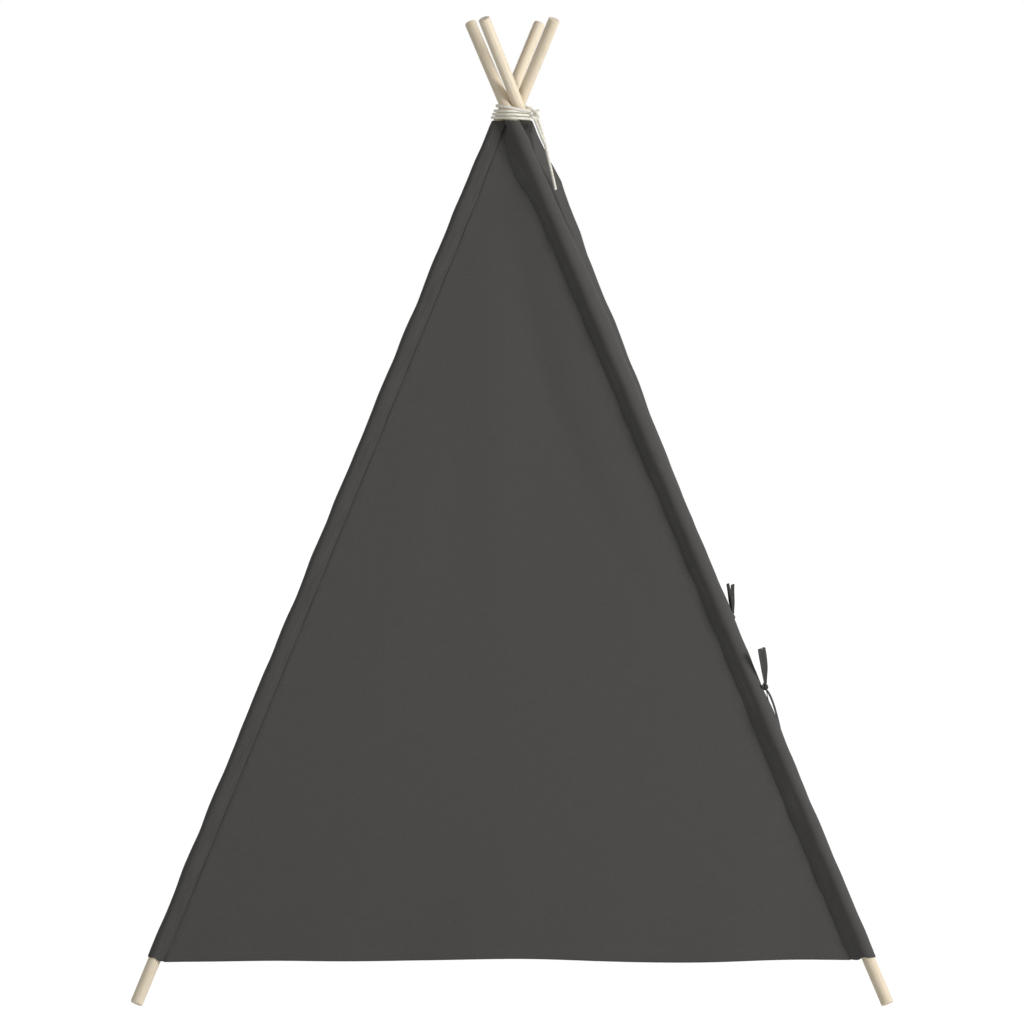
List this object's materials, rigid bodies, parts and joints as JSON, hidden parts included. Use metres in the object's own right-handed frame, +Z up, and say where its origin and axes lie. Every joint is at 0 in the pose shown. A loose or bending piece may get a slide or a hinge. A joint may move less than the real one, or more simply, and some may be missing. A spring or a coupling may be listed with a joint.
{
  "type": "kids teepee",
  "caption": "Play tent of jointed wooden poles lashed near the top, under a square pyramid canvas cover with a pocket for each pole and a slit door with two flaps and tape ties.",
  "frame": {"origin": "centre of the floor square under the four pole feet, at floor height", "axes": "+Z up, +X out through the door, the pictured closed side faces -Y"},
  "size_m": [1.1872, 1.1872, 1.5607],
  "materials": {
    "pole_wood": "satin",
    "ferrule_steel": "satin",
    "cover_canvas": "matte",
    "lashing_cord": "matte",
    "tie_tape": "matte"
  },
  "bodies": {
    "root": {"left_panel": "cover_canvas", "right_panel": "cover_canvas", "back_panel": "cover_canvas", "door_panel": "cover_canvas", "lashing_winding": "lashing_cord", "lashing_knot": "lashing_cord", "lashing_tail_long": "lashing_cord", "lashing_tail_short": "lashing_cord"},
    "pole_front_left": {"door_tie_left_band": "tie_tape", "door_tie_left_end_a": "tie_tape", "door_tie_left_end_b": "tie_tape", "door_tie_left_knot": "tie_tape", "door_tie_left_loop": "tie_tape", "ferrule_front_left_lower": "ferrule_steel", "ferrule_front_left_upper": "ferrule_steel", "pole_front_left_lower": "pole_wood", "pole_front_left_middle": "pole_wood", "pole_front_left_upper": "pole_wood", "pole_sleeve_front_left": "cover_canvas"},
    "pole_front_right": {"door_tie_right_band": "tie_tape", "door_tie_right_end_a": "tie_tape", "door_tie_right_end_b": "tie_tape", "door_tie_right_knot": "tie_tape", "door_tie_right_loop": "tie_tape", "ferrule_front_right_lower": "ferrule_steel", "ferrule_front_right_upper": "ferrule_steel", "pole_front_right_lower": "pole_wood", "pole_front_right_middle": "pole_wood", "pole_front_right_upper": "pole_wood", "pole_sleeve_front_right": "cover_canvas"},
    "pole_rear_right": {"ferrule_rear_right_lower": "ferrule_steel", "ferrule_rear_right_upper": "ferrule_steel", "pole_rear_right_lower": "pole_wood", "pole_rear_right_middle": "pole_wood", "pole_rear_right_upper": "pole_wood", "pole_sleeve_rear_right": "cover_canvas"},
    "pole_rear_left": {"ferrule_rear_left_lower": "ferrule_steel", "ferrule_rear_left_upper": "ferrule_steel", "pole_rear_left_lower": "pole_wood", "pole_rear_left_middle": "pole_wood", "pole_rear_left_upper": "pole_wood", "pole_sleeve_rear_left": "cover_canvas"},
    "door_flap_left_body": {"door_flap_left": "cover_canvas"},
    "door_flap_right_body": {"door_flap_right": "cover_canvas"}
  },
  "joints": [
    {"name": "pole_fold_front_left", "type": "hinge", "parent": "root", "child": "pole_front_left", "pos_m": [-0.01098, -0.01098, 1.414], "axis": [0.6937, 0.7203, 0], "range_deg": [0, 26], "deforming": ["back_panel", "door_flap_left", "door_flap_right", "door_panel", "left_panel", "pole_sleeve_front_left", "pole_sleeve_front_right", "pole_sleeve_rear_left", "pole_sleeve_rear_right", "right_panel", "lashing_winding", "lashing_knot", "lashing_tail_long", "lashing_tail_short"]},
    {"name": "pole_fold_front_right", "type": "hinge", "parent": "root", "child": "pole_front_right", "pos_m": [0.01098, -0.01098, 1.414], "axis": [-0.7203, 0.6937, 0], "range_deg": [0, 26]},
    {"name": "pole_fold_rear_right", "type": "hinge", "parent": "root", "child": "pole_rear_right", "pos_m": [0.01098, 0.01098, 1.414], "axis": [-0.6937, -0.7203, 0], "range_deg": [0, 26]},
    {"name": "pole_fold_rear_left", "type": "hinge", "parent": "root", "child": "pole_rear_left", "pos_m": [-0.01098, 0.01098, 1.414], "axis": [0.7203, -0.6937, 0], "range_deg": [0, 26]},
    {"name": "door_flap_left_swing", "type": "hinge", "parent": "root", "child": "door_flap_left_body", "pos_m": [0.56912, -0.50792, 0.06877], "axis": [0.3556, -0.4064, -0.8417], "range_deg": [0, 120]},
    {"name": "door_flap_right_swing", "type": "hinge", "parent": "root", "child": "door_flap_right_body", "pos_m": [0.55883, 0.49341, 0.06877], "axis": [-0.3462, -0.4185, 0.8396], "range_deg": [0, 120]}
  ],
  "couplings": [
    {"joint": "pole_fold_front_right", "follows": "pole_fold_front_left", "ratio": 1},
    {"joint": "pole_fold_rear_right", "follows": "pole_fold_front_left", "ratio": 1},
    {"joint": "pole_fold_rear_left", "follows": "pole_fold_front_left", "ratio": 1}
  ]
}
